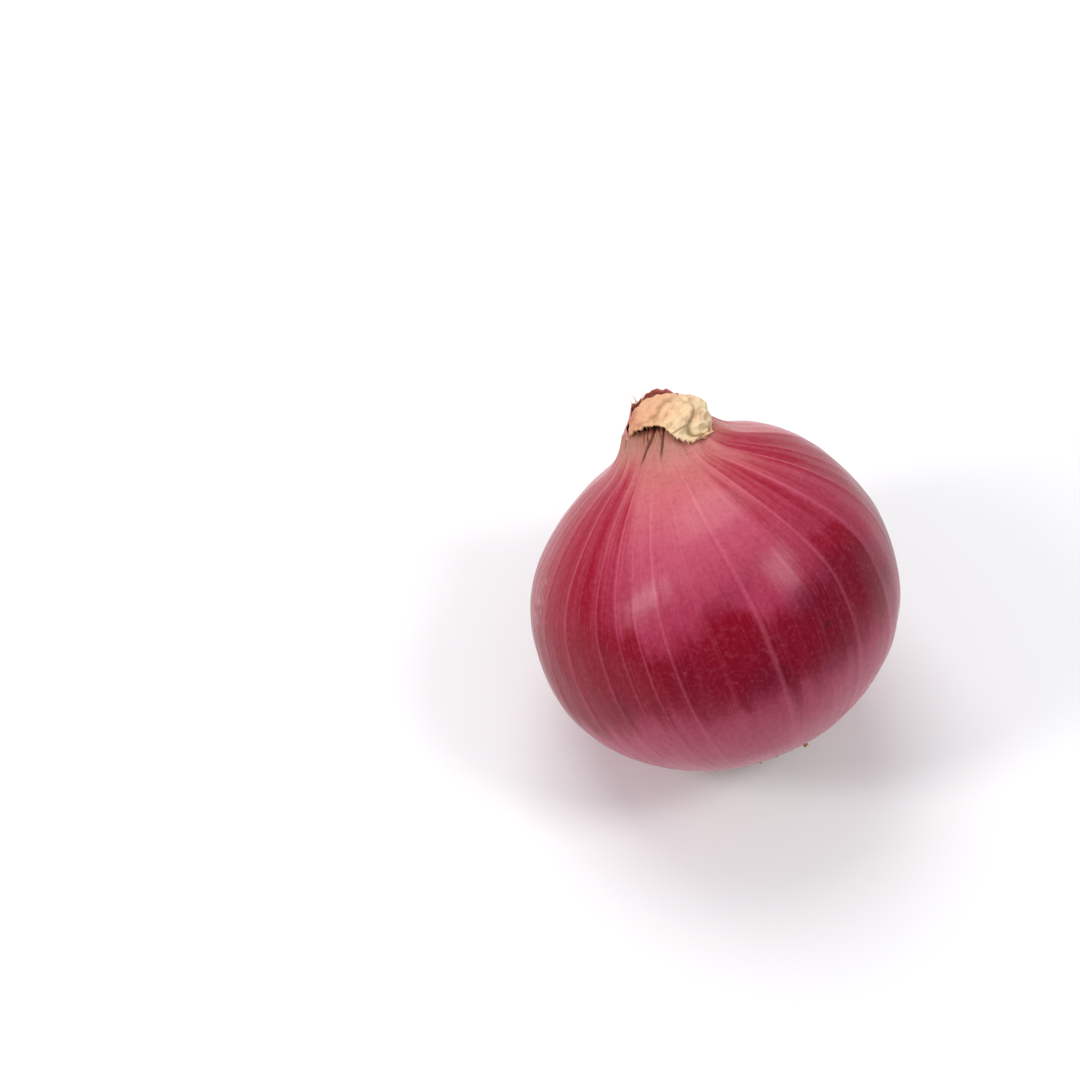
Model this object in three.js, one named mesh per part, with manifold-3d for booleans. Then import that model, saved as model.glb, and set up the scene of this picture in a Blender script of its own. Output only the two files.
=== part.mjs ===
// A red onion lying on its side, as it comes to rest after it is picked and dried.
// The bulb is one grown solid. The withered leaf ends on its neck and the crust of dried roots
// under it are pieces of their own. Millimetres, +Z up, standing on Z = 0.
import * as THREE from 'three';
import { mergeVertices } from 'three/addons/utils/BufferGeometryUtils.js';
import Module from 'manifold-3d';

// ---- driving dimensions, in the onion's own upright frame: root end down, neck up ----
const BULB_RADIUS = 33;           // half of the widest diameter
const SHOULDER_HEIGHT = 30.9;     // from the widest ring up to where the shoulders would meet
const BELLY_DEPTH = 28.9;         // from the widest ring down to the root end
const SHOULDER_FULLNESS = 2.02;   // 2 is a true ellipse, more is a fuller curve
const BELLY_FULLNESS = 2.12;
const OVAL = 0.01;                // share by which the cross section is an oval
const THREE_SIDED = -0.005;       // share by which it is a rounded triangle
const OVAL_TURN = 0.6;            // turn of the oval about the axis, in radians

const NECK_FOOT_RADIUS = 12;      // where the shoulder turns up into the neck
const NECK_TOP_RADIUS = 6.4;
const NECK_FLARE = 1.2;           // how far the neck's foot spreads beyond its top
const NECK_FLARE_RISE = 1.6;      // height above the foot where the spreading stops
const NECK_TOP = 33;              // height of the neck's end above the widest ring
const NECK_SHIFT = 2.6;           // the neck grew a little off the middle
const NECK_SHIFT_START = 8;       // height at which the shift begins

const ROOT_SEAT_RADIUS = 9.3;     // shallow seat in the root end that holds the crust of roots
const ROOT_SEAT_DEPTH = 27.2;     // its depth below the widest ring

const GAP = 0.3;                  // left between pieces that touch

const LEAF_LENGTH = 11;           // length of the dry leaf ends, measured along their bend
const LEAF_RADIUS = 6.2;          // half their width where they stand on the neck
const LEAF_FOLD_TURN = -0.35;     // direction of the fold about the neck, in radians
const LEAF_FLATTENING = 0.6;      // share of the thickness lost at the leaf tips
const LEAF_NARROWING = 0.3;       // share of the width lost there
const LEAF_RUFFLE = 0.1;          // depth of the ruffles at the tips, as a share of the radius
const LEAF_RUFFLES = 5;

const CRUST_RADIUS = 9;           // disc of matted root bases
const CRUST_THICKNESS = 1.3;
const CRUST_RIM = 0.8;            // slope of the disc's rim, and the width it leaves bare
const ROOT_COUNT = 44;            // trimmed root stubs
const ROOT_RADIUS = 0.65;
const ROOT_TAPER = 0.75;
const ROOT_LENGTH = 1.5;          // mean length that shows
const ROOT_SPLAY = 0.5;           // outward tilt of the outermost stubs, in radians
const ROOT_SCATTER = 0.3;         // spread of that tilt from stub to stub

// ---- how it lies ----
const LEAN = THREE.MathUtils.degToRad(43.2);       // of the neck from upright
const LEAN_HEADING = THREE.MathUtils.degToRad(31.8); // of the lean, from +Y towards -X
const FLAT_DEPTH = 0.9;           // height of the small flat spot above the round underside

// ---- how finely the round shapes are faceted ----
const BULB_SIDES = 48;
const BULB_RINGS = 24;
const NECK_RINGS = 5;
const LEAF_SIDES = 24;
const LEAF_RINGS = 10;
const CRUST_SIDES = 32;
const ROOT_SIDES = 6;

// ---- joining and cutting ----
const wasm = await Module();
wasm.setup();

function toManifold(geometry) {
  const welded = geometry.clone();
  welded.deleteAttribute('normal');
  welded.deleteAttribute('uv');
  const merged = mergeVertices(welded, 1e-5);
  return new wasm.Manifold(new wasm.Mesh({
    numProp: 3,
    vertProperties: new Float32Array(merged.attributes.position.array),
    triVerts: new Uint32Array(merged.index.array),
  }));
}

function toGeometry(solid) {
  const mesh = solid.getMesh();
  const geometry = new THREE.BufferGeometry();
  geometry.setAttribute('position', new THREE.BufferAttribute(mesh.vertProperties, 3));
  geometry.setIndex(new THREE.BufferAttribute(mesh.triVerts, 1));
  return geometry;
}

// Moves every vertex of a geometry by a function that changes it in place.
function reshape(geometry, move) {
  const position = geometry.attributes.position;
  const vertex = new THREE.Vector3();
  for (let i = 0; i < position.count; i++) {
    move(vertex.fromBufferAttribute(position, i));
    position.setXYZ(i, vertex.x, vertex.y, vertex.z);
  }
  return geometry;
}

// ---- bulb ----
// Distance of the globe's surface above or below its widest ring, at a distance from the axis.
function globeRise(radius, height, fullness) {
  return height * (1 - (radius / BULB_RADIUS) ** fullness) ** (1 / fullness);
}

function globePoint(angle) {
  const radius = BULB_RADIUS * Math.sin(angle);
  const height = angle < Math.PI / 2
    ? -globeRise(radius, BELLY_DEPTH, BELLY_FULLNESS)
    : globeRise(radius, SHOULDER_HEIGHT, SHOULDER_FULLNESS);
  return new THREE.Vector2(radius, height);
}

// The outline of half the bulb, from the root end on the axis to the neck on the axis.
function bulbOutline() {
  const outline = [new THREE.Vector2(0, -ROOT_SEAT_DEPTH), new THREE.Vector2(ROOT_SEAT_RADIUS, -ROOT_SEAT_DEPTH)];
  const from = Math.asin(ROOT_SEAT_RADIUS / BULB_RADIUS);
  const to = Math.PI - Math.asin(NECK_FOOT_RADIUS / BULB_RADIUS);
  for (let ring = 0; ring < BULB_RINGS; ring++) {
    outline.push(globePoint(THREE.MathUtils.lerp(from, to, ring / BULB_RINGS)));
  }
  const foot = globePoint(to);
  const neck = new THREE.QuadraticBezierCurve(
    foot,
    new THREE.Vector2(NECK_TOP_RADIUS + NECK_FLARE, foot.y + NECK_FLARE_RISE),
    new THREE.Vector2(NECK_TOP_RADIUS, NECK_TOP),
  );
  return [...outline, ...neck.getPoints(NECK_RINGS), new THREE.Vector2(0, NECK_TOP)];
}

// An onion is never quite round, and its neck sits a little off the middle.
function growUneven(vertex) {
  const around = Math.atan2(vertex.y, vertex.x);
  const swell = 1 + OVAL * Math.cos(2 * around + OVAL_TURN) + THREE_SIDED * Math.cos(3 * around);
  vertex.x *= swell;
  vertex.y *= swell;
  vertex.x += NECK_SHIFT * THREE.MathUtils.smoothstep(vertex.z, NECK_SHIFT_START, NECK_TOP);
}

function bulbGeometry() {
  const globe = new THREE.LatheGeometry(bulbOutline(), BULB_SIDES);
  globe.rotateX(Math.PI / 2);
  return reshape(globe, growUneven);
}

// ---- dry leaf ends ----
// The leaf ends stand on the neck, then fold over to one side. The bend is in the XZ plane.
const leafBend = new THREE.CatmullRomCurve3([
  new THREE.Vector3(0, 0, 0),
  new THREE.Vector3(0.5, 0, 1.3),
  new THREE.Vector3(2.6, 0, 2.3),
  new THREE.Vector3(5.4, 0, 2.2),
  new THREE.Vector3(7.4, 0, 0.9),
]);

function followBend(vertex) {
  const along = vertex.z / LEAF_LENGTH;
  const around = Math.atan2(vertex.y, vertex.x);
  const ruffle = 1 + LEAF_RUFFLE * along * Math.cos(LEAF_RUFFLES * around);
  const centre = leafBend.getPoint(along);
  const tangent = leafBend.getTangent(along);
  const outward = vertex.x * ruffle * (1 - LEAF_FLATTENING * along ** 0.7);
  vertex.y *= ruffle * (1 - LEAF_NARROWING * along ** 2);
  vertex.x = centre.x + outward * tangent.z;
  vertex.z = Math.max(0, centre.z - outward * tangent.x);
}

function leafGeometry() {
  const leaf = new THREE.CylinderGeometry(LEAF_RADIUS, LEAF_RADIUS, LEAF_LENGTH, LEAF_SIDES, LEAF_RINGS);
  leaf.rotateX(Math.PI / 2);
  leaf.translate(0, 0, LEAF_LENGTH / 2);
  return reshape(leaf, followBend);
}

// ---- crust of dried roots ----
// A repeatable scatter between 0 and 1 for the nth root.
function scatter(n, salt) {
  const value = Math.sin(n * 12.9898 + salt * 78.233) * 43758.5453;
  return value - Math.floor(value);
}

// The stubs spread over the disc in a sunflower spiral, each tilted a little outwards.
function rootStub(n) {
  const goldenAngle = Math.PI * (3 - Math.sqrt(5));
  const out = Math.sqrt((n + 0.5) / ROOT_COUNT);
  const length = CRUST_THICKNESS + ROOT_LENGTH * (0.6 + 0.8 * scatter(n, 1));
  const stub = new THREE.CylinderGeometry(ROOT_RADIUS, ROOT_TAPER * ROOT_RADIUS, length, ROOT_SIDES);
  stub.rotateX(Math.PI / 2);
  stub.translate(0, 0, -length / 2);
  stub.rotateY(ROOT_SPLAY * out + ROOT_SCATTER * (scatter(n, 2) - 0.5));
  stub.translate((CRUST_RADIUS - CRUST_RIM - ROOT_RADIUS) * out, 0, 0);
  stub.rotateZ(n * goldenAngle);
  return stub;
}

// The tilted stubs are cut off level inside the disc, so that none reaches up into the bulb.
function crustGeometry() {
  const disc = new THREE.CylinderGeometry(CRUST_RADIUS, CRUST_RADIUS - CRUST_RIM, CRUST_THICKNESS, CRUST_SIDES);
  disc.rotateX(Math.PI / 2);
  disc.translate(0, 0, -CRUST_THICKNESS / 2);
  const below = new THREE.BoxGeometry(4 * CRUST_RADIUS, 4 * CRUST_RADIUS, 2 * CRUST_RADIUS);
  below.translate(0, 0, -CRUST_RADIUS - CRUST_THICKNESS / 4);
  const room = toManifold(below);
  let crust = toManifold(disc);
  for (let n = 0; n < ROOT_COUNT; n++) {
    crust = crust.add(toManifold(rootStub(n)).intersect(room));
  }
  return toGeometry(crust);
}

// ---- the onion, upright, then leant over onto its flat spot ----
function piece(name, geometry, color, roughness) {
  const mesh = new THREE.Mesh(geometry, new THREE.MeshStandardMaterial({ color, roughness, metalness: 0 }));
  mesh.name = name;
  return mesh;
}

const onion = new THREE.Group();
const leanAxis = new THREE.Vector3(-Math.cos(LEAN_HEADING), -Math.sin(LEAN_HEADING), 0);
onion.quaternion.setFromAxisAngle(leanAxis, LEAN);

// The flat spot: everything below a level plane just above the lowest point is taken off.
const wholeBulb = bulbGeometry();
const lowest = reshape(wholeBulb.clone(), (vertex) => vertex.applyQuaternion(onion.quaternion));
lowest.computeBoundingBox();
const floorLevel = lowest.boundingBox.min.z + FLAT_DEPTH;
const belowFloor = new THREE.BoxGeometry(3 * BULB_RADIUS, 3 * BULB_RADIUS, BULB_RADIUS);
belowFloor.translate(0, 0, floorLevel - BULB_RADIUS / 2);
belowFloor.applyQuaternion(onion.quaternion.clone().invert());
const bulb = toManifold(wholeBulb).subtract(toManifold(belowFloor));

onion.add(piece('bulb', toGeometry(bulb), 0x8c1434, 0.4));

const leaves = piece('dry_neck', leafGeometry(), 0xdcae7c, 0.8);
leaves.position.set(NECK_SHIFT, 0, NECK_TOP + GAP);
leaves.rotation.z = LEAF_FOLD_TURN;
onion.add(leaves);

const roots = piece('root_plate', crustGeometry(), 0xb98a55, 0.9);
roots.position.z = -ROOT_SEAT_DEPTH - GAP;
onion.add(roots);

// The origin is under the middle of the onion, on the surface it rests on.
onion.updateMatrixWorld(true);
const extent = new THREE.Box3().setFromObject(onion, true);
const middle = extent.getCenter(new THREE.Vector3());
onion.position.set(-middle.x, -middle.y, -floorLevel);

export default onion;
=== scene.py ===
"""A red onion lying on its flat spot on a pale table: its papery skin, dry leaf ends and root crust.

The onion is shaped upright in millimetres, root end down and neck up. One matrix then leans it over,
sets it where the frame has it and turns millimetres into metres.
"""
import math
import random

import bmesh
import bpy
from mathutils import Matrix, Vector, noise


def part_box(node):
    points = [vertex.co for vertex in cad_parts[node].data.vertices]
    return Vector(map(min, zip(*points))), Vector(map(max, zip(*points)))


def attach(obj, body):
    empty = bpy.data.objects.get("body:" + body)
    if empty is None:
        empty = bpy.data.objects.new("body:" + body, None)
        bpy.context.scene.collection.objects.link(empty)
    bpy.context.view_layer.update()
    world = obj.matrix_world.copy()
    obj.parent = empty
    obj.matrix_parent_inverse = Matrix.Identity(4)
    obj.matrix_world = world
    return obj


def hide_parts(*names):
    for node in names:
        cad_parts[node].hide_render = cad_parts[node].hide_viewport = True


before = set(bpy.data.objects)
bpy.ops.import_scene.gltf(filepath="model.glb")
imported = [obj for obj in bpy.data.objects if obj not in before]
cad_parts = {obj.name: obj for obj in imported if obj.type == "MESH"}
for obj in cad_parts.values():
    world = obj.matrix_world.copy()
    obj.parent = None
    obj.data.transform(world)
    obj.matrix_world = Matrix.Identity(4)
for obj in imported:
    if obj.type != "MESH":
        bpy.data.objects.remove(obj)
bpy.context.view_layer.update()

# ---- the bulb, in millimetres --------------------------------------------------------------------
BULB_RADIUS = 33.0
SHOULDER_HEIGHT = 30.9      # from the widest ring up to where the shoulders would meet
BELLY_DEPTH = 28.9          # from the widest ring down to the root end
SHOULDER_FULLNESS = 2.02    # 2 is a true ellipse, more is a fuller curve
BELLY_FULLNESS = 2.12
OVAL = 0.01                 # share by which the cross section is an oval
THREE_SIDED = -0.005        # share by which it is a rounded triangle
OVAL_TURN = 0.6

NECK_FOOT_RADIUS = 13.5     # where the shoulder turns up into the neck
NECK_RADIUS = 6.9
NECK_HEIGHT = 34.4
NECK_TIP_RADIUS = 5.2       # the neck draws in under the dry leaf ends
NECK_TIP_HEIGHT = 35.6
NECK_SHIFT = 2.6            # the neck grew a little off the middle
NECK_SHIFT_START = 8.0
NECK_SHIFT_END = 33.0

ROOT_SEAT_RADIUS = 9.3
ROOT_SEAT_DEPTH = 27.2

BULB_SIDES = 336
BULB_RINGS = 118

# ---- the skin's strips ---------------------------------------------------------------------------
# Pale veins run from the root end to the neck and part the skin into strips. Each row is a vein and the
# strip that follows it: the vein's turn about the axis at the widest ring in degrees (0 is to the
# right, -90 in front), how strongly it stands out, the heights between which the strip is full crimson
# (1 at the neck, 0 at the widest ring, -1 at the roots), how red the strip stays above that, and how
# much grey-purple shows through it.
STRIPS = (
    (-178, 0.35, 0.52, -0.26, 0.90, 0.1),
    (-163, 0.35, 0.48, -0.26, 0.90, 0.1),
    (-150, 0.35, 0.44, -0.24, 0.85, 0.05),
    (-136, 0.55, 0.40, -0.18, 0.85, 0.1),
    (-121, 0.50, 0.36, -0.08, 0.62, 0.6),
    (-113, 0.70, 0.28, -0.12, 0.38, 0.1),
    (-106, 0.40, 0.16, -0.10, 0.06, 0.15),
    (-97.5, 0.80, 0.16, -0.16, 0.04, 0.25),
    (-84, 0.15, 0.24, -0.16, 0.10, 0.35),
    (-69, 0.80, 0.12, -0.20, 0.08, 0.8),
    (-52, 0.20, 0.22, -0.12, 0.45, 0.45),
    (-40.5, 0.75, 0.40, -0.08, 0.60, 0.4),
    (-22, 0.80, 0.04, 0.00, 0.50, 0.3),
    (-4, 0.60, 0.20, -0.05, 0.90, 0.3),
    (10, 0.45, 0.34, -0.15, 0.85, 0.2),
    (27, 0.70, 0.18, -0.10, 0.30, 0.5),
    (41, 0.35, 0.28, -0.20, 0.50, 0.3),
    (58, 0.80, 0.14, -0.12, 0.15, 0.2),
    (76, 0.40, 0.30, -0.18, 0.45, 0.6),
    (92, 0.70, 0.22, -0.10, 0.25, 0.2),
    (109, 0.35, 0.38, -0.22, 0.65, 0.4),
    (124, 0.75, 0.16, -0.08, 0.20, 0.3),
    (143, 0.45, 0.30, -0.16, 0.50, 0.5),
    (161, 0.65, 0.40, -0.14, 0.60, 0.2),
)
VEIN_SWEEP = math.radians(28)       # the veins on the right sweep round as they climb to the neck
VEIN_SWEEP_TURN = math.radians(-15)
VEIN_SWEEP_FROM = 4.0
VEIN_SWEEP_TO = 27.0
VEIN_RISE = 0.08                    # height of a vein above the skin
VEIN_HALF_WIDTH = 0.45

# Each crease's top and bottom as x and height, and its width.
NECK_CREASES = (((2.9, 36.0), (-1.3, 31.2), 0.22), ((4.3, 36.0), (2.2, 31.4), 0.2))
SCUFF_TURN = math.radians(-158)     # the middle of the rubbed patch
SCUFF_HALF_TURN = math.radians(13)
SCUFF_HEIGHT = 13.0
SCUFF_HALF_HEIGHT = 6.5
SPOT = Vector((21.2, -25.3, -0.6))  # a small dark pit in the skin, right of the front

# ---- how it lies ---------------------------------------------------------------------------------
LEAN = math.radians(43.2)
LEAN_HEADING = math.radians(31.8)


# ---- small helpers -------------------------------------------------------------------------------
def smooth(low, high, value):
    """0 below low, 1 above high and an even S between."""
    share = min(1.0, max(0.0, (value - low) / (high - low)))
    return share * share * (3 - 2 * share)


def bell(distance, width):
    return math.exp(-((distance / width) ** 2))


def turn_between(a, b):
    """Signed turn from b to a, between minus and plus half a turn."""
    return (a - b + math.pi) % (2 * math.pi) - math.pi


def finish_mesh(name, bm, matrix, material):
    """Make an object of a bmesh, in place, with its faces pointing out and smooth."""
    bm.transform(matrix)
    bmesh.ops.recalc_face_normals(bm, faces=bm.faces)
    for face in bm.faces:
        face.smooth = True
    mesh = bpy.data.meshes.new(name)
    bm.to_mesh(mesh)
    bm.free()
    piece = bpy.data.objects.new(name, mesh)
    bpy.context.scene.collection.objects.link(piece)
    mesh.materials.append(material)
    return piece


# ---- shader helpers ------------------------------------------------------------------------------
def linear(hex_colour):
    """An sRGB hex colour as linear RGBA."""
    channels = [int(hex_colour[i:i + 2], 16) / 255 for i in (1, 3, 5)]
    return [c / 12.92 if c <= 0.04045 else ((c + 0.055) / 1.055) ** 2.4 for c in channels] + [1.0]


def add(tree, kind, settings=None, stops=None, **inputs):
    """Add one shader node. Inputs are named by socket (spaces as _) or number (n0, n1), a value or a socket."""
    made = tree.nodes.new("ShaderNode" + kind)
    for key, value in (settings or {}).items():
        setattr(made, key, value)
    if stops:
        ramp = made.color_ramp
        while len(ramp.elements) < len(stops):
            ramp.elements.new(0.5)
        for element, (place, colour) in zip(ramp.elements, stops):
            element.position = place
            element.color = linear(colour) if isinstance(colour, str) else (colour, colour, colour, 1.0)
    for key, value in inputs.items():
        socket = made.inputs[int(key[1:])] if key[1:].isdigit() else made.inputs[key.replace("_", " ")]
        if isinstance(value, bpy.types.NodeSocket):
            tree.links.new(value, socket)
        else:
            socket.default_value = value
    return made


def calc(tree, operation, *values, clamp=False):
    """A Math node's result."""
    inputs = {f"n{i}": value for i, value in enumerate(values)}
    return add(tree, "Math", {"operation": operation, "use_clamp": clamp}, **inputs).outputs[0]


def blend_colours(tree, share, low, high):
    settings = {"data_type": "RGBA", "clamp_factor": True}
    return add(tree, "Mix", settings, n0=share, n6=low, n7=high).outputs[2]


def new_material(name):
    """An empty material with its surface shader wired to the output."""
    material = bpy.data.materials.new(name)
    material.use_nodes = True
    tree = material.node_tree
    tree.nodes.clear()
    shader = add(tree, "BsdfPrincipled")
    add(tree, "OutputMaterial", Surface=shader.outputs[0])
    return material, tree, shader


# ---- skin material -------------------------------------------------------------------------------
def onion_skin():
    """Dry outer scale of a red onion, thin, waxed by its own cuticle and polished by handling.

    The eye sees deep crimson strips that pale to rose at the neck and to mauve and cream at the roots, fine
    fibres along them, pale veins between them, grey-purple blooms and a soft sheen.
    """
    material, tree, shader = new_material("red_onion_outer_skin")
    uv = add(tree, "UVMap", {"uv_map": "strips"}).outputs[0]
    parts = add(tree, "SeparateXYZ", Vector=uv)
    strip, height = parts.outputs[0], parts.outputs[1]
    place = add(tree, "TexCoord").outputs["Object"]

    # Patterns stretched along the strips: one strip is about 8.6 mm wide and the skin 93 mm from end to end.
    def along(across_scale, height_scale, detail, seed=0.0):
        scaled = add(tree, "VectorMath", {"operation": "MULTIPLY"}, n0=uv, n1=(across_scale, height_scale, 1.0))
        moved = add(tree, "VectorMath", {"operation": "ADD"}, n0=scaled.outputs[0], n1=(0.0, 0.0, seed))
        return add(tree, "TexNoise", Vector=moved.outputs[0], Scale=1.0, Detail=detail).outputs[0]

    fibres = along(16.0, 5.0, 3.0)
    fine_fibres = along(46.0, 16.0, 2.0, 4.0)
    streaks = along(3.2, 3.0, 3.0, 9.0)

    # Under the red, the skin goes from tan at the root end through mauve and rose to peach at the neck.
    soft = add(tree, "TexNoise", Vector=place, Scale=1 / 0.011, Detail=3.0, Roughness=0.55).outputs[0]
    shifted = calc(tree, "ADD", height, calc(tree, "MULTIPLY", calc(tree, "SUBTRACT", soft, 0.5), 0.12))
    shifted = calc(tree, "ADD", shifted, calc(tree, "MULTIPLY", calc(tree, "SUBTRACT", streaks, 0.5), 0.10))
    # The last three stops paint shade: dark brown at the neck's very end, under the dry leaf ends.
    colour = add(tree, "ValToRGB", Fac=shifted, stops=(
        (0.0, "#cf9f80"), (0.10, "#c08377"), (0.20, "#ba6072"), (0.34, "#ac4760"), (0.46, "#a22c4a"),
        (0.58, "#ab3452"), (0.70, "#be5068"), (0.80, "#ca6a70"), (0.87, "#c4726c"), (0.92, "#b97e6c"),
        (0.944, "#a8735a"), (0.957, "#74422a"), (0.97, "#3f2012"))).outputs[0]

    # Crimson fills each strip between its own two heights.
    red = add(tree, "Attribute", {"attribute_name": "red"}).outputs["Fac"]
    mottle = calc(tree, "MULTIPLY", calc(tree, "SUBTRACT", streaks, 0.5), 1.3)
    full = add(tree, "MapRange", {"interpolation_type": "SMOOTHSTEP"}, Value=calc(tree, "ADD", red, mottle),
               From_Min=0.05, From_Max=0.95).outputs[0]
    crimson = add(tree, "ValToRGB", Fac=height, stops=(
        (0.3, "#7c0626"), (0.5, "#85011f"), (0.62, "#920122"), (0.74, "#9e0a2b"), (0.88, "#a8203a"))).outputs[0]
    colour = blend_colours(tree, full, colour, crimson)

    # Grey-purple where the next scale shows through.
    purple = add(tree, "Attribute", {"attribute_name": "purple"}).outputs["Fac"]
    colour = blend_colours(tree, calc(tree, "MULTIPLY", purple, 0.75), colour, linear("#500a2a"))

    # Fibres lighten and darken the strips.
    grain = calc(tree, "ADD", calc(tree, "MULTIPLY", fibres, 0.6), calc(tree, "MULTIPLY", fine_fibres, 0.4))
    lighter = add(tree, "MapRange", Value=grain, From_Min=0.5, From_Max=0.75, To_Max=0.16).outputs[0]
    colour = blend_colours(tree, lighter, colour, linear("#d3607a"))
    darker = add(tree, "MapRange", Value=grain, From_Min=0.5, From_Max=0.27, To_Max=0.18).outputs[0]
    colour = blend_colours(tree, darker, colour, linear("#5a0820"))

    # Pale veins between the strips, strongest towards the neck.
    past_vein = calc(tree, "FRACT", calc(tree, "ADD", strip, 0.5))
    off_vein = calc(tree, "ABSOLUTE", calc(tree, "SUBTRACT", past_vein, 0.5))
    line = add(tree, "MapRange", {"interpolation_type": "SMOOTHSTEP"}, Value=off_vein,
               From_Min=0.075, From_Max=0.012, To_Min=0.0, To_Max=1.0).outputs[0]
    strength = add(tree, "ValToRGB", stops=vein_strengths(),
                   Fac=calc(tree, "DIVIDE", calc(tree, "ADD", strip, 0.5), float(len(STRIPS)))).outputs[0]
    fade = add(tree, "ValToRGB", Fac=height, stops=(
        (0.0, 0.05), (0.2, 0.15), (0.35, 0.30), (0.5, 0.4), (0.65, 0.55), (0.82, 0.95), (0.93, 0.5),
        (1.0, 0.1))).outputs[0]
    line = calc(tree, "MULTIPLY", calc(tree, "MULTIPLY", line, strength), fade)
    line = calc(tree, "MULTIPLY", line, calc(tree, "MULTIPLY", calc(tree, "SUBTRACT", streaks, 0.15), 1.9),
                clamp=True)
    colour = blend_colours(tree, line, colour, linear("#df7187"))

    # Cells and dried wax mottle it finely.
    cells = add(tree, "TexNoise", Vector=place, Scale=1 / 0.0008, Detail=3.0, Roughness=0.6).outputs[0]
    light_cells = add(tree, "MapRange", Value=cells, From_Min=0.5, From_Max=0.8, To_Max=0.16).outputs[0]
    colour = blend_colours(tree, light_cells, colour, linear("#d77288"))
    dark_cells = add(tree, "MapRange", Value=cells, From_Min=0.5, From_Max=0.25, To_Max=0.22).outputs[0]
    colour = blend_colours(tree, dark_cells, colour, linear("#66071f"))

    # Pale specks of dry tissue.
    specks = add(tree, "TexVoronoi", Vector=place, Scale=1 / 0.0021, Randomness=1.0).outputs[0]
    specks = add(tree, "MapRange", Value=specks, From_Min=0.11, From_Max=0.04, To_Max=0.12).outputs[0]
    colour = blend_colours(tree, specks, colour, linear("#e0a0a4"))

    # Fine whitish scratches where the skin has been rubbed.
    rubbed = add(tree, "Attribute", {"attribute_name": "scuff"}).outputs["Fac"]
    scratches = along(9.0, 60.0, 3.0, 21.0)
    scratches = add(tree, "MapRange", Value=scratches, From_Min=0.48, From_Max=0.68).outputs[0]
    rubbed = calc(tree, "MULTIPLY", calc(tree, "MULTIPLY", rubbed, scratches), 0.45)
    colour = blend_colours(tree, rubbed, colour, linear("#dfb6b4"))

    # Painted shade along the neck's two creases. The same layer also holds the small dark spot, which is the
    # skin's own colour.
    crease = add(tree, "Attribute", {"attribute_name": "crease"}).outputs["Fac"]
    colour = blend_colours(tree, crease, colour, linear("#4a1512"))

    sheen = calc(tree, "ADD", 0.15, calc(tree, "MULTIPLY", fibres, 0.22))
    neck_matt = add(tree, "ValToRGB", Fac=height, stops=((0.0, 0.2), (0.2, 0.0), (0.85, 0.0), (0.97, 0.25)))
    sheen = calc(tree, "ADD", sheen, neck_matt.outputs[0])
    relief = calc(tree, "ADD", calc(tree, "MULTIPLY", fibres, 0.7), calc(tree, "MULTIPLY", fine_fibres, 0.12))
    bump = add(tree, "Bump", Height=relief, Strength=0.12, Distance=0.00025).outputs[0]
    tree.links.new(colour, shader.inputs["Base Color"])
    tree.links.new(sheen, shader.inputs["Roughness"])
    tree.links.new(bump, shader.inputs["Normal"])
    shader.inputs["IOR"].default_value = 1.45
    shader.inputs["Specular IOR Level"].default_value = 0.2
    return material


def vein_strengths():
    """Stops of a ramp that gives the vein at each strip's edge its strength."""
    return [((i + 0.5) / len(STRIPS), strip[1]) for i, strip in enumerate(STRIPS)]


# ---- dry leaf and root materials -----------------------------------------------------------------
def dry_leaf():
    """Withered leaf base: matt, papery, peach where it is young and cream to straw where it is bleached, with
    painted shade in its hollows.
    """
    material, tree, shader = new_material("dry_onion_leaf")
    uv = add(tree, "UVMap", {"uv_map": "leaf"}).outputs[0]
    across = add(tree, "SeparateXYZ", Vector=uv).outputs[0]
    place = add(tree, "TexCoord").outputs["Object"]
    mottle = add(tree, "TexNoise", Vector=place, Scale=1 / 0.0032, Detail=4.0, Roughness=0.6).outputs[0]
    veins = add(tree, "VectorMath", {"operation": "MULTIPLY"}, n0=uv, n1=(14.0, 9.0, 1.0)).outputs[0]
    veins = add(tree, "TexNoise", Vector=veins, Scale=1.0, Detail=4.0, Distortion=0.8).outputs[0]
    shifted = calc(tree, "ADD", across, calc(tree, "MULTIPLY", calc(tree, "SUBTRACT", mottle, 0.5), 0.5))
    colour = add(tree, "ValToRGB", Fac=shifted, stops=(
        (0.0, "#c07a5c"), (0.14, "#e0a57e"), (0.34, "#e9b78e"), (0.46, "#ecca9f"), (0.72, "#f0dab2"),
        (1.0, "#ecca9c"))).outputs[0]
    dark = add(tree, "MapRange", Value=veins, From_Min=0.52, From_Max=0.3, To_Max=0.5).outputs[0]
    colour = blend_colours(tree, dark, colour, linear("#c98f62"))
    # Painted shade: darker brown in the leaf's valleys and in the hollow of its rolled end.
    hollow_shade = add(tree, "Attribute", {"attribute_name": "hollow_shade"}).outputs["Fac"]
    colour = blend_colours(tree, hollow_shade, colour, linear("#8a6a35"))
    relief = calc(tree, "ADD", veins, calc(tree, "MULTIPLY", mottle, 0.6))
    bump = add(tree, "Bump", Height=relief, Strength=0.35, Distance=0.0003).outputs[0]
    tree.links.new(colour, shader.inputs["Base Color"])
    tree.links.new(bump, shader.inputs["Normal"])
    shader.inputs["Roughness"].default_value = 0.62
    shader.inputs["IOR"].default_value = 1.45
    return material


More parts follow.
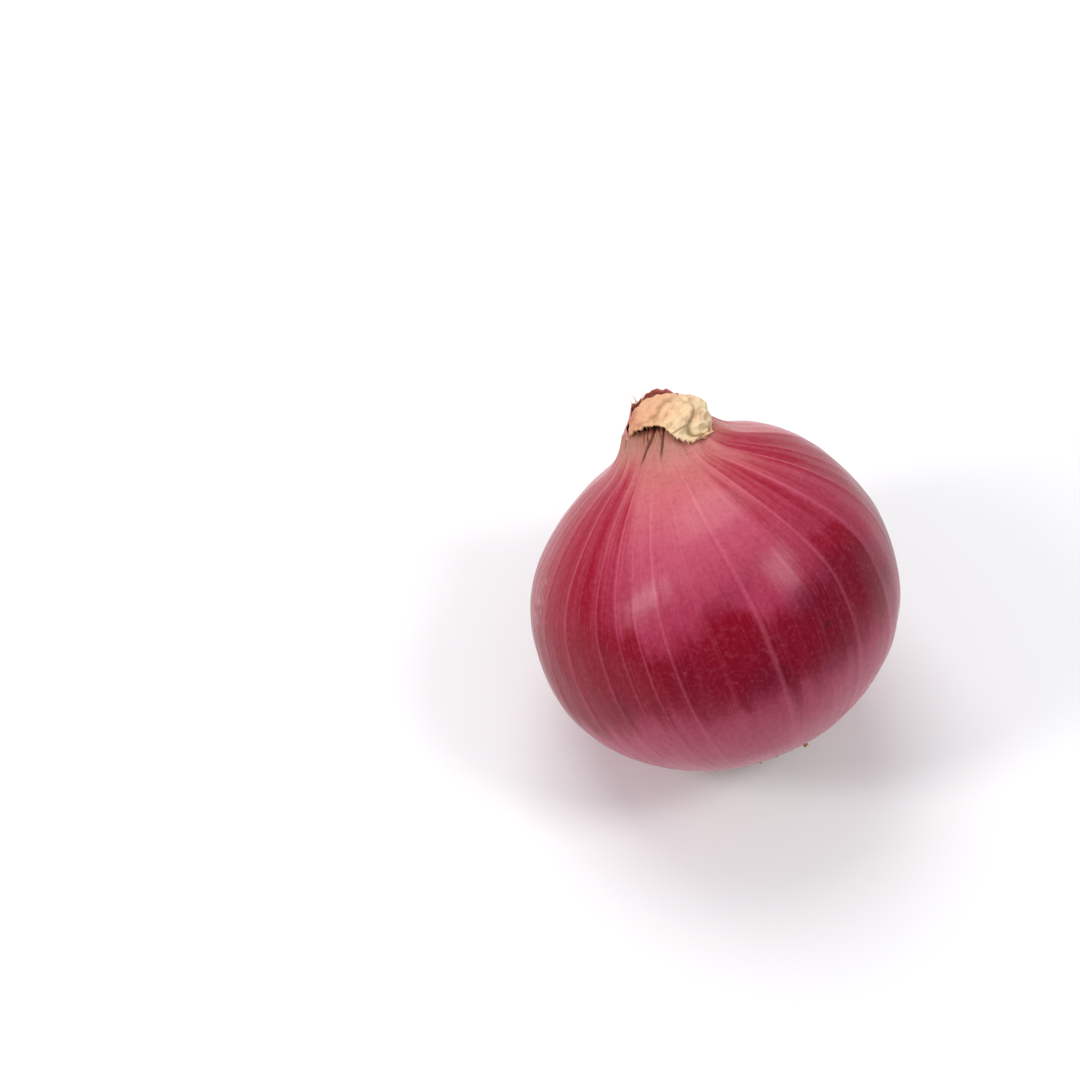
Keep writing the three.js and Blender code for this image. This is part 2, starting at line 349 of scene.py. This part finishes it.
def torn_skin():
    """Torn edge of the outermost skin: paper-thin, dull rose, straw-coloured where it has dried out."""
    material, tree, shader = new_material("torn_red_skin")
    place = add(tree, "TexCoord").outputs["Object"]
    uv = add(tree, "UVMap", {"uv_map": "leaf"}).outputs[0]
    mottle = add(tree, "TexNoise", Vector=place, Scale=1 / 0.0028, Detail=4.0, Roughness=0.6).outputs[0]
    fibres = add(tree, "VectorMath", {"operation": "MULTIPLY"}, n0=uv, n1=(46.0, 4.0, 1.0)).outputs[0]
    fibres = add(tree, "TexNoise", Vector=fibres, Scale=1.0, Detail=3.0).outputs[0]
    colour = add(tree, "ValToRGB", Fac=mottle, stops=(
        (0.2, "#a5434f"), (0.42, "#c06b70"), (0.58, "#cf8f88"), (0.8, "#dcb5a0"))).outputs[0]
    dark = add(tree, "MapRange", Value=fibres, From_Min=0.5, From_Max=0.3, To_Max=0.5).outputs[0]
    colour = blend_colours(tree, dark, colour, linear("#7c2630"))
    bump = add(tree, "Bump", Height=fibres, Strength=0.3, Distance=0.0002).outputs[0]
    tree.links.new(colour, shader.inputs["Base Color"])
    tree.links.new(bump, shader.inputs["Normal"])
    shader.inputs["Roughness"].default_value = 0.5
    shader.inputs["IOR"].default_value = 1.45
    return material


def dried_root(name, light, middle, dark):
    """Dried root: matt, fibrous, straw to brown, darker in the gaps where soil has stayed."""
    material, tree, shader = new_material(name)
    place = add(tree, "TexCoord").outputs["Object"]
    mottle = add(tree, "TexNoise", Vector=place, Scale=1 / 0.0016, Detail=4.0, Roughness=0.65).outputs[0]
    colour = add(tree, "ValToRGB", Fac=mottle, stops=((0.25, dark), (0.5, middle), (0.75, light))).outputs[0]
    bump = add(tree, "Bump", Height=mottle, Strength=0.5, Distance=0.0003).outputs[0]
    tree.links.new(colour, shader.inputs["Base Color"])
    tree.links.new(bump, shader.inputs["Normal"])
    shader.inputs["Roughness"].default_value = 0.85
    shader.inputs["IOR"].default_value = 1.45
    return material


# ---- bulb ----------------------------------------------------------------------------------------
def globe_point(turn):
    """Radius and height on the globe's outline, for a turn from 0 at the root end to pi at the neck."""
    radius = BULB_RADIUS * math.sin(turn)
    out = radius / BULB_RADIUS
    if turn < math.pi / 2:
        return radius, -BELLY_DEPTH * (1 - out ** BELLY_FULLNESS) ** (1 / BELLY_FULLNESS)
    return radius, SHOULDER_HEIGHT * (1 - out ** SHOULDER_FULLNESS) ** (1 / SHOULDER_FULLNESS)


def curve_through(points, steps):
    """Points on a quadratic Bezier curve, without its first point."""
    start, middle, end = (Vector(p) for p in points)
    shares = [i / steps for i in range(1, steps + 1)]
    return [tuple((1 - t) ** 2 * start + 2 * t * (1 - t) * middle + t * t * end) for t in shares]


def bulb_outline():
    """Half the bulb's outline, from the root end on the axis up to the neck's end on the axis."""
    seat = -ROOT_SEAT_DEPTH
    outline = [(0.0, seat), (3.0, seat), (6.0, seat), (ROOT_SEAT_RADIUS - 0.6, seat)]
    start = math.asin((ROOT_SEAT_RADIUS + 0.5) / BULB_RADIUS)
    end = math.pi - math.asin(NECK_FOOT_RADIUS / BULB_RADIUS)
    rim = globe_point(start)
    outline += curve_through((outline[-1], (ROOT_SEAT_RADIUS - 0.1, rim[1] - 0.2), rim), 4)
    for ring in range(1, BULB_RINGS + 1):
        outline.append(globe_point(start + (end - start) * ring / BULB_RINGS))
    foot = outline[-1]
    neck = (NECK_RADIUS, NECK_HEIGHT)
    outline += curve_through((foot, (NECK_RADIUS + 2.3, foot[1] + 2.0), neck), 26)
    tip = (NECK_TIP_RADIUS - 1.5, NECK_TIP_HEIGHT)
    outline += curve_through((neck, (NECK_TIP_RADIUS + 0.6, NECK_TIP_HEIGHT), tip), 8)
    return outline + [(0.0, NECK_TIP_HEIGHT)]


def climb(outline):
    """How far along the skin each outline point is: 0 at the root end, 1 at the neck's end."""
    lengths = [0.0]
    for before, after in zip(outline, outline[1:]):
        lengths.append(lengths[-1] + math.dist(before, after))
    return [length / lengths[-1] for length in lengths]


def vein_turn(around, height):
    """The turn at the widest ring of the strip that passes a point."""
    share = max(0.0, (height - VEIN_SWEEP_FROM) / (VEIN_SWEEP_TO - VEIN_SWEEP_FROM)) ** 2
    side = (0.5 + 0.5 * math.cos(around - VEIN_SWEEP_TURN)) ** 4
    return around + VEIN_SWEEP * side * min(1.4, share)


def strip_place(turn):
    """Where a turn falls among the veins: vein number plus the share of the way to the next vein."""
    first = STRIPS[0][0]
    degrees = (math.degrees(turn) - first) % 360 + first
    for i, (low, *_) in enumerate(STRIPS):
        high = STRIPS[i + 1][0] if i + 1 < len(STRIPS) else first + 360
        if degrees <= high:
            return i + (degrees - low) / (high - low)
    return float(len(STRIPS))


def strip_value(strip, column, blur):
    """A column of the strips' table at a place, blurred a little across the veins."""
    nearest = round(strip)
    before = STRIPS[(nearest - 1) % len(STRIPS)][column]
    after = STRIPS[nearest % len(STRIPS)][column]
    return before + (after - before) * smooth(-blur, blur, strip - nearest)


def skin_pigment(local, strip):
    """How full of red the skin is at a point of the upright bulb, and how far grey-purple shows through."""
    height = local.z / (SHOULDER_HEIGHT if local.z > 0 else BELLY_DEPTH)
    wander = 0.07 * noise.noise(local / 7.0) + 0.04 * noise.noise(local / 2.5)
    top = strip_value(strip, 2, 0.16) + wander + 0.04
    bottom = strip_value(strip, 3, 0.16) + wander - 0.06
    above = strip_value(strip, 4, 0.3)
    above *= 0.95 * (1 - smooth(0.70 + 0.2 * above, 0.92 + 0.2 * above, height))
    soft = 0.13 + 0.10 * noise.noise(local / 6.0 + Vector((0, 5, 0)))
    band = (1 - smooth(top - soft, top + soft, height)) * smooth(bottom - 0.30, bottom + 0.16, height)
    red = max(band, above * smooth(bottom, bottom + 0.2, height))
    cloud = smooth(-0.25, 0.4, noise.noise(local / 8.5 + Vector((0, 0, 3))))
    purple = strip_value(strip, 5, 0.2) * cloud * smooth(-0.45, -0.15, height) * (1 - smooth(0.2, 0.55, height))
    return red, purple


def scuff(local, around):
    """How rubbed the skin is: one pale patch on the left shoulder."""
    aside = turn_between(around, SCUFF_TURN) / SCUFF_HALF_TURN
    away = Vector((aside, (local.z - SCUFF_HEIGHT) / SCUFF_HALF_HEIGHT))
    return (1 - smooth(0.3, 1.0, away.length)) * smooth(-0.3, 0.3, noise.noise(local / 2.2))


def neck_crease(local):
    """How deep a point is in one of the two dark creases on the front of the neck, from 0 to 1."""
    deepest = 0.0
    for top, bottom, width in NECK_CREASES:
        share = (top[1] - local.z) / (top[1] - bottom[1])
        if local.y < 0 and 0 <= share <= 1.25:
            line = top[0] + (bottom[0] - top[0]) * share
            fade = 1 - smooth(0.8, 1.25, share)
            deepest = max(deepest, fade * bell(local.x - line, width))
    return deepest


def shape_skin(local, around, strip):
    """Move a point of the smooth bulb to where the grown bulb has it, in place. Returns its crease depth."""
    radius = math.hypot(local.x, local.y)
    height = local.z
    swell = 1 + OVAL * math.cos(2 * around + OVAL_TURN) + THREE_SIDED * math.cos(3 * around)
    outward = Vector((math.cos(around), math.sin(around), 0.45 * height / BULB_RADIUS))
    # Veins stand up a little, and the skin between them is slightly flat.
    to_vein = abs(strip - round(strip))
    strength = STRIPS[round(strip) % len(STRIPS)][1]
    strip_width = 2 * math.pi * max(radius, 2.0) / len(STRIPS)
    rise = VEIN_RISE * strength * bell(to_vein * strip_width, VEIN_HALF_WIDTH)
    rise -= 0.04 * math.sin(math.pi * min(1.0, 2 * to_vein)) * smooth(8.0, 20.0, radius)
    # The scales under the skin swell it unevenly.
    rise += 0.35 * noise.noise(local / 15.0) + 0.12 * noise.noise(local / 6.0 + Vector((7, 0, 0)))
    # Pleats gather the skin into the neck.
    gathered = smooth(26.5, 31.5, height) * (1 - 0.5 * smooth(33.5, 35.5, height)) * smooth(2.0, 5.0, radius)
    pleat = noise.noise(Vector((2.6 * math.cos(around) * 2, 2.6 * math.sin(around) * 2, height / 14)))
    fine_pleat = noise.noise(Vector((14 * math.cos(around), 14 * math.sin(around), height / 9)))
    rise += gathered * (0.5 * pleat + 0.16 * fine_pleat)
    local.x *= swell
    local.y *= swell
    local.x += NECK_SHIFT * smooth(NECK_SHIFT_START, NECK_SHIFT_END, height)
    crease = neck_crease(local)
    local += outward * (rise - 0.35 * crease)
    return crease


def build_bulb(material):
    """The bulb, spun from its outline and grown uneven. Returns it and the matrix that places it."""
    outline = bulb_outline()
    climbs = climb(outline)
    bm = bmesh.new()
    climb_layer = bm.verts.layers.float.new("climb")
    crease_shade_and_spot_layer = bm.verts.layers.float.new("crease")
    red_layer = bm.verts.layers.float.new("red")
    purple_layer = bm.verts.layers.float.new("purple")
    scuff_layer = bm.verts.layers.float.new("scuff")
    profile = [bm.verts.new((radius, 0.0, height)) for radius, height in outline]
    for vert, share in zip(profile, climbs):
        vert[climb_layer] = share
    edges = [bm.edges.new(pair) for pair in zip(profile, profile[1:])]
    bmesh.ops.spin(bm, geom=profile + edges, axis=(0, 0, 1), cent=(0, 0, 0), angle=2 * math.pi,
                   steps=BULB_SIDES, use_merge=True)
    bmesh.ops.remove_doubles(bm, verts=bm.verts, dist=1e-4)

    strips = {}
    for vert in bm.verts:
        around = math.atan2(vert.co.y, vert.co.x)
        strips[vert] = strip_place(vein_turn(around, vert.co.z))
        vert[red_layer], vert[purple_layer] = skin_pigment(vert.co, strips[vert])
        vert[scuff_layer] = scuff(vert.co, around)
        # The crease depth is kept for the painted shade in the neck's creases. The pit is a dark spot of the
        # skin's own.
        pit = 0.85 * bell((vert.co - SPOT).length, 0.55)
        vert[crease_shade_and_spot_layer] = max(pit, shape_skin(vert.co, around, strips[vert]))

    count = len(STRIPS)
    layer = bm.loops.layers.uv.new("strips")
    for face in bm.faces:
        places = [strips[v] for v in face.verts]
        crosses = max(places) - min(places) > count / 2
        for loop in face.loops:
            place = strips[loop.vert]
            if crosses and place < count / 2:
                place += count
            loop[layer].uv = (place, loop.vert[climb_layer])

    # Below the table's top the bulb is flat.
    matrix = stand_matrix(bm)
    back = matrix.inverted()
    for vert in bm.verts:
        world = matrix @ vert.co
        if world.z < 0:
            world.z = 0.0
            vert.co = back @ world
    return finish_mesh("onion_bulb", bm, matrix, material), matrix


def stand_matrix(bm):
    """The matrix that leans the upright onion over and sets it where the frame's bulb is."""
    heading = Vector((-math.cos(LEAN_HEADING), -math.sin(LEAN_HEADING), 0.0))
    leaning = Matrix.Rotation(LEAN, 4, heading) @ Matrix.Scale(0.001, 4)
    corners = [leaning @ v.co for v in bm.verts]
    low = Vector([min(c[i] for c in corners) for i in range(3)])
    high = Vector([max(c[i] for c in corners) for i in range(3)])
    cad_low, cad_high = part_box("bulb")
    place = (cad_low + cad_high - low - high) / 2
    place.z = cad_high.z - high.z
    return Matrix.Translation(place) @ leaning


# ---- dry leaf ends -------------------------------------------------------------------------------
# The folded leaf as rows of points from the back of the neck, over the ridge and down to the ragged
# front edge.
FOLDED_LEAF = (
    ((-1.8, 4.3, 32.8), (0.2, 5.6, 33.0), (3.4, 6.0, 33.0), (6.2, 5.2, 32.8),
     (8.2, 4.0, 32.2), (9.6, 2.8, 31.4), (10.1, 1.6, 30.8), (10.5, 0.2, 30.3)),
    ((-1.8, 3.0, 35.4), (0.2, 4.0, 36.4), (3.8, 4.8, 36.9), (7.2, 4.6, 35.8),
     (9.3, 3.6, 34.2), (10.5, 2.4, 32.8), (10.7, 1.2, 31.4), (10.8, 0.0, 30.6)),
    ((-1.9, 0.5, 36.5), (0.2, 1.0, 37.9), (3.9, 1.5, 38.9), (7.4, 1.5, 37.8),
     (9.7, 1.0, 36.1), (11.0, 0.5, 34.3), (10.8, 0.0, 32.4), (10.9, -1.0, 30.9)),
    ((-2.4, -2.3, 36.5), (0.0, -3.2, 38.0), (3.6, -3.6, 38.8), (6.9, -4.2, 37.4),
     (8.9, -4.8, 35.4), (10.3, -5.0, 33.4), (10.8, -4.4, 31.9), (11.0, -2.8, 30.9)),
    ((-2.9, -4.6, 35.2), (-0.6, -5.8, 36.3), (1.9, -6.2, 36.4), (3.9, -6.7, 35.5),
     (4.9, -7.5, 34.1), (6.0, -8.0, 32.8), (8.0, -7.9, 31.9), (10.3, -5.9, 31.2)),
)

# The torn outer skin that stands behind it, as rows from its foot on the neck to its ragged rim.
TORN_SKIN = (
    ((-1.2, -5.2, 31.0), (-4.4, -4.2, 31.2), (-5.9, -1.0, 31.6), (-5.3, 3.0, 31.6),
     (-2.8, 6.4, 31.4), (1.6, 7.8, 31.4), (5.8, 7.0, 31.2)),
    ((-1.5, -5.0, 32.8), (-4.0, -3.9, 33.2), (-4.9, -0.8, 33.8), (-4.4, 2.7, 34.0),
     (-2.2, 5.6, 34.2), (1.9, 6.8, 34.2), (5.9, 6.2, 33.8)),
    ((-1.8, -4.8, 34.0), (-3.5, -3.5, 35.0), (-3.7, -0.6, 35.5), (-2.9, 2.4, 36.4),
     (-1.0, 4.9, 37.0), (2.6, 6.0, 37.0), (6.1, 5.5, 36.0)),
    ((-2.0, -4.6, 34.6), (-3.1, -3.1, 36.0), (-3.0, -0.4, 36.5), (-1.4, 2.3, 38.0),
     (0.6, 3.9, 39.0), (3.8, 4.4, 39.3), (6.8, 4.2, 37.6)),
)


def spline(points, place):
    """A point on the smooth curve through points, at a place counted in points."""
    index = min(len(points) - 2, int(place))
    t = place - index
    before = points[index - 1] if index else points[0] * 2 - points[1]
    after = points[index + 2] if index + 2 < len(points) else points[-1] * 2 - points[-2]
    start, end = points[index], points[index + 1]
    return 0.5 * (2 * start + (end - before) * t + (2 * before - 5 * start + 4 * end - after) * t ** 2
                  + (3 * start - before - 3 * end + after) * t ** 3)


def sheet_point(rows, across, along):
    return spline([spline([Vector(p) for p in row], across) for row in rows], along)


def build_sheet(name, rows, cuts, thickness, shape, material, matrix):
    """A thin sheet of leaf or skin, crumpled by a function, given its thickness and its painted shade."""
    across_cuts, along_cuts = cuts
    bm = bmesh.new()
    bmesh.ops.create_grid(bm, x_segments=across_cuts, y_segments=along_cuts, size=0.5)
    layer = bm.loops.layers.uv.new("leaf")
    layers = bm.verts.layers
    hollow_shade_layer = layers.float.new("hollow_shade")
    across_layer, along_layer = layers.float.new("across"), layers.float.new("along")
    base_layer, out_layer = layers.float_vector.new("base"), layers.float_vector.new("out")
    for face in bm.faces:
        for loop in face.loops:
            loop[layer].uv = (loop.vert.co.x + 0.5, loop.vert.co.y + 0.5)
    for vert in bm.verts:
        across, along = vert.co.x + 0.5, vert.co.y + 0.5
        vert[across_layer], vert[along_layer] = across, along
        vert.co = sheet_point(rows, across * (len(rows[0]) - 1), along * (len(rows) - 1))
    bm.normal_update()
    centre = Vector((3.5, 0.0, 33.0))
    if sum((v.co - centre).dot(v.normal) for v in bm.verts) < 0:
        bmesh.ops.reverse_faces(bm, faces=bm.faces)
        bm.normal_update()
    for vert in bm.verts:
        vert[base_layer], vert[out_layer] = vert.co, vert.normal
    # The smooth sheet gets its thickness first, so both of its sides crumple alike.
    bmesh.ops.solidify(bm, geom=bm.faces[:], thickness=thickness)
    for vert in bm.verts:
        rise, pull, hollow_shade = shape(vert[base_layer], vert[across_layer], vert[along_layer])
        vert.co += vert[out_layer] * rise + pull
        vert[hollow_shade_layer] = hollow_shade
    return finish_mesh(name, bm, matrix, material)


def crumple_leaf(co, across, along):
    """Crumples of the folded leaf: soft folds, sharp creases, the rolled end and the ragged front edge, and the
    painted shade in its valleys and rolled hollow.
    """
    free = smooth(0.25, 0.5, along)
    folds = 0.75 * noise.noise(co / 3.0) + 0.35 * noise.noise(co / 1.3 + Vector((3, 1, 0)))
    sharp = 1 - 2.4 * abs(noise.noise(Vector((co.x / 2.6, co.y / 1.6, co.z / 1.5 + 5))))
    fine = 1 - 2.4 * abs(noise.noise(Vector((co.x / 1.2, co.y / 0.8, co.z / 0.7 + 9))))
    rise = folds * (0.5 + 0.5 * free) + free * (0.30 * sharp + 0.10 * fine)
    # A sharp valley parts the two halves.
    middle = 0.37 + 0.06 * math.sin(5 * along) + 0.02 * noise.noise(co / 1.5)
    valley = bell(across - middle, 0.016) * smooth(0.5, 0.66, along)
    rise -= 0.5 * valley
    # The right end is rolled in on itself round a curved hollow, open towards the neck's middle.
    out = Vector(((across - 0.76) / 0.15, (along - 0.80) / 0.11))
    ring = bell(out.length - 1.0, 0.22) * smooth(-0.9, 0.1, out.x * 0.7 + out.y * 0.7)
    rise += -0.75 * ring + 0.5 * bell(out.length - 1.6, 0.35) * free
    second = bell(across - 0.56 - 0.05 * math.sin(9 * along), 0.014) * smooth(0.55, 0.66, along)
    rise -= 0.4 * second
    # Painted shade: how much darker the leaf is painted in its valleys and in the rolled end's hollow.
    shade = min(1.0, 0.95 * ring + 0.45 * valley + 0.55 * second)
    rise = max(rise, -0.05 - 1.0 * (1 - smooth(0.72, 0.86, along)))
    ragged = smooth(0.93, 1.0, along) * (0.7 * noise.noise(Vector((across * 26, 2.0, 0)))
                                         + 0.25 * noise.noise(Vector((across * 70, 6.0, 0))) + 0.1)
    return rise, Vector((0.0, -0.2, -1.0)) * ragged * 0.6, shade


def crumple_skin(co, across, along):
    """Crumples of the torn skin and its tattered rim."""
    rise = 0.35 * noise.noise(co / 2.6 + Vector((9, 0, 0))) * (0.3 + along)
    tatter = smooth(0.55, 1.0, along) * (noise.noise(Vector((across * 11, 4.0, 0)))
                                         + 0.25 * noise.noise(Vector((across * 31, 8.0, 0))))
    return rise, Vector((0.1, 0.0, 1.0)) * tatter * 0.9, 0.0


def build_fibres(name, roots_of, material, matrix):
    """Loose fibres, each a thin tapered thread from a start point along a direction."""
    bm = bmesh.new()
    layer = bm.loops.layers.uv.new("leaf")
    for start, direction, length, thickness in roots_of:
        turn = direction.to_track_quat("Z", "Y").to_matrix().to_4x4()
        place = Matrix.Translation(start + direction.normalized() * length / 2) @ turn
        bmesh.ops.create_cone(bm, cap_ends=True, segments=5, radius1=thickness, radius2=thickness * 0.25,
                              depth=length, matrix=place)
    for face in bm.faces:
        for loop in face.loops:
            loop[layer].uv = (0.7, 0.9)
    return finish_mesh(name, bm, matrix, material)


def leaf_fibres():
    """Fibres along the folded leaf's torn front edge and the few long ones at its top left."""
    seeded = random.Random(5)
    threads = []
    for _ in range(30):
        across = seeded.uniform(0.05, 0.98)
        start = sheet_point(FOLDED_LEAF, across * 7, 4.0)
        direction = Vector((seeded.uniform(-0.5, 0.6), seeded.uniform(-0.5, 0.1), -1.0))
        threads.append((start + Vector((0, 0, 0.3)), direction, seeded.uniform(0.3, 1.2), 0.04))
    for x, z, lean in ((-0.9, 38.9, 0.2), (-0.5, 39.1, -0.3), (0.3, 39.2, 0.5), (-1.5, 38.5, -0.1)):
        threads.append((Vector((x, 2.6, z - 0.6)), Vector((lean, 0.1, 1.0)), 2.4, 0.1))
    return threads


# ---- roots ---------------------------------------------------------------------------------------
CRUST_RADIUS = 9.0
CRUST_THICKNESS = 1.2
ROOT_COUNT = 190
ROOT_RADIUS = 0.52


def build_crust(material, matrix):
    """The matted disc that the roots grow from."""
    bm = bmesh.new()
    turn = Matrix.Translation((0, 0, -ROOT_SEAT_DEPTH - 0.1)) @ Matrix.Scale(0.16, 4, (0, 0, 1))
    bmesh.ops.create_uvsphere(bm, u_segments=96, v_segments=32, radius=CRUST_RADIUS, matrix=turn)
    for vert in bm.verts:
        lump = noise.noise(vert.co / 1.3) * 0.35 + noise.noise(vert.co / 0.6) * 0.2
        vert.co.z -= lump if vert.co.z < -ROOT_SEAT_DEPTH - 0.1 else 0.0
    return finish_mesh("root_mat", bm, matrix, material)


def build_roots(material, matrix):
    """Trimmed, shrivelled root stubs over the whole disc, in a sunflower spiral."""
    seeded = random.Random(3)
    golden = math.pi * (3 - math.sqrt(5))
    bm = bmesh.new()
    for n in range(ROOT_COUNT):
        out = math.sqrt((n + 0.5) / ROOT_COUNT)
        around = n * golden + seeded.uniform(-0.2, 0.2)
        thickness = ROOT_RADIUS * seeded.uniform(0.55, 1.15)
        length = seeded.uniform(0.9, 2.2) * (1 + 0.3 * out ** 4)
        base = Vector((math.cos(around), math.sin(around), 0)) * out * (CRUST_RADIUS - 0.7)
        base.z = -ROOT_SEAT_DEPTH - 0.9 + 0.6 * out ** 2
        splay = Vector((math.cos(around), math.sin(around), 0)) * (1.2 * out ** 2)
        direction = splay + Vector((seeded.uniform(-0.35, 0.35), seeded.uniform(-0.35, 0.35), -1.0))
        turn = direction.to_track_quat("Z", "Y").to_matrix().to_4x4()
        place = Matrix.Translation(base + direction.normalized() * length / 2) @ turn
        bmesh.ops.create_cone(bm, cap_ends=True, segments=9, radius1=thickness, radius2=thickness * 0.7,
                              depth=length, matrix=place)
    sides = [e for e in bm.edges if all(len(f.verts) == 4 for f in e.link_faces)]
    bmesh.ops.subdivide_edges(bm, edges=sides, cuts=3)
    for vert in bm.verts:
        vert.co += noise.noise_vector(vert.co / 0.9) * 0.16
    return finish_mesh("root_stubs", bm, matrix, material)


# ---- build ---------------------------------------------------------------------------------------
skin = onion_skin()
leaf = dry_leaf()
torn = torn_skin()
stub_finish = dried_root("dried_onion_root", "#d3ab72", "#b98a52", "#7a5029")
mat_finish = dried_root("matted_root_base", "#8f6235", "#6b431f", "#3a2110")

bulb, MATRIX = build_bulb(skin)
folded_leaf = build_sheet("folded_leaf", FOLDED_LEAF, (150, 100), 0.4, crumple_leaf, leaf, MATRIX)
torn_rim = build_sheet("torn_skin_rim", TORN_SKIN, (120, 60), 0.12, crumple_skin, torn, MATRIX)
fibres = build_fibres("leaf_fibres", leaf_fibres(), leaf, MATRIX)
crust = build_crust(mat_finish, MATRIX)
roots = build_roots(stub_finish, MATRIX)

for piece, finish in ((bulb, "onion_skin"), (folded_leaf, "dry_leaf"), (torn_rim, "dry_leaf"),
                      (fibres, "dry_leaf"), (crust, "dry_root"), (roots, "dry_root")):
    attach(piece, "root")
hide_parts("bulb")
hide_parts("dry_neck")
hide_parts("root_plate")


# ---- camera --------------------------------------------------------------------------------------
CAMERA_ELEVATION = math.radians(57)
LENS = 80.0
SENSOR = 36.0
BULB_SHARE = 0.3407           # the bulb's widest diameter, as a share of the picture's width
BULB_PLACE = (0.1611, -0.0556)  # the bulb's middle, right of and below the picture's middle, in the same shares


def add_camera(target):
    """A camera that looks down on the table, with the bulb right of and below the middle of its view."""
    data = bpy.data.cameras.new("camera")
    data.lens = LENS
    data.sensor_width = SENSOR
    data.clip_start = 0.01
    camera = bpy.data.objects.new("camera", data)
    bpy.context.scene.collection.objects.link(camera)
    turn = Matrix.Rotation(math.pi / 2 - CAMERA_ELEVATION, 4, "X")
    per_depth = SENSOR / LENS
    depth = 2 * BULB_RADIUS * 0.001 / (BULB_SHARE * per_depth)
    offset = Vector((BULB_PLACE[0] * per_depth * depth, BULB_PLACE[1] * per_depth * depth, -depth))
    camera.matrix_world = Matrix.Translation(target - turn.to_3x3() @ offset) @ turn
    bpy.context.scene.camera = camera


MIDDLE = MATRIX @ Vector((0, 0, 0))
add_camera(MIDDLE)


# ---- table and light -----------------------------------------------------------------------------
def add_floor():
    """A plain pale table top."""
    bm = bmesh.new()
    bmesh.ops.create_grid(bm, x_segments=1, y_segments=1, size=3.0)
    material, tree, shader = new_material("pale_table")
    shader.inputs["Base Color"].default_value = linear("#fdfdfd")
    shader.inputs["Roughness"].default_value = 0.7
    floor = finish_mesh("table", bm, Matrix.Identity(4), material)


def add_softbox(name, direction, distance, size, energy, target):
    """A rectangular soft light that faces the onion."""
    data = bpy.data.lights.new(name, "AREA")
    data.shape = "RECTANGLE"
    data.size, data.size_y = size
    data.energy = energy
    light = bpy.data.objects.new(name, data)
    away = Vector(direction).normalized()
    light.location = target + away * distance
    light.rotation_euler = away.to_track_quat("Z", "Y").to_euler()
    bpy.context.scene.collection.objects.link(light)


def add_surroundings():
    """An even, bright, slightly cool room."""
    world = bpy.data.worlds.new("room")
    world.use_nodes = True
    background = world.node_tree.nodes["Background"]
    background.inputs["Color"].default_value = linear("#f6f8ff")
    background.inputs["Strength"].default_value = 0.40
    bpy.context.scene.world = world


add_floor()
add_softbox("left_softbox", (-0.75, -0.26, 0.61), 0.7, (0.14, 0.27), 1.7, MIDDLE)
add_softbox("right_softbox", (0.56, -0.13, 0.82), 0.8, (0.20, 0.25), 1.7, MIDDLE)
add_softbox("back_softbox", (-0.25, 0.55, 1.0), 0.9, (0.6, 0.5), 3.7, MIDDLE)
add_surroundings()
bpy.context.scene.view_settings.view_transform = "Standard"
